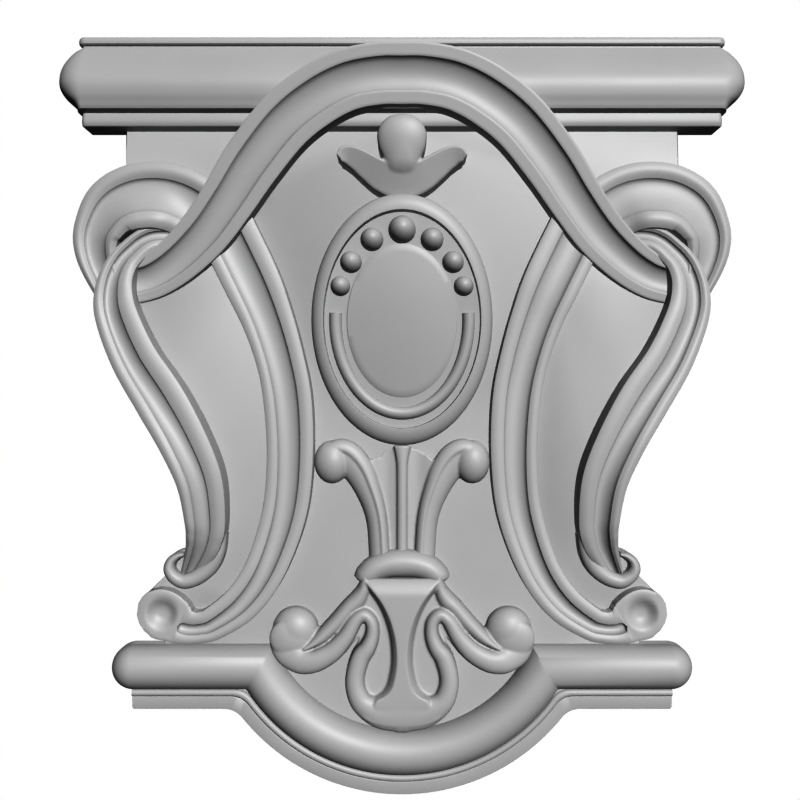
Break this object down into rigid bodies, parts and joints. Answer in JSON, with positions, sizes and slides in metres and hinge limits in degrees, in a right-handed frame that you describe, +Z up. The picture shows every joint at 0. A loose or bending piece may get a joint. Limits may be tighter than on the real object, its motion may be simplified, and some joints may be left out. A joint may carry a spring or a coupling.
{
  "type": "pilaster cap onlay",
  "caption": "Carved onlay for the head of a pilaster: a cornice and a dipping base moulding frame an ogee arch band, side scrolls, a palmette, a pearled oval and a husk",
  "frame": {"origin": "middle of the flat back, on the centre line, halfway up the height", "axes": "+Z up, +Y into the wall behind, -Y out of the carved face, +X to the right seen from the front"},
  "size_m": [0.2212, 0.0214, 0.2466],
  "materials": {
    "onlay": "satin grey, moulded smooth"
  },
  "bodies": {
    "root": {"onlay": "onlay"}
  },
  "joints": []
}
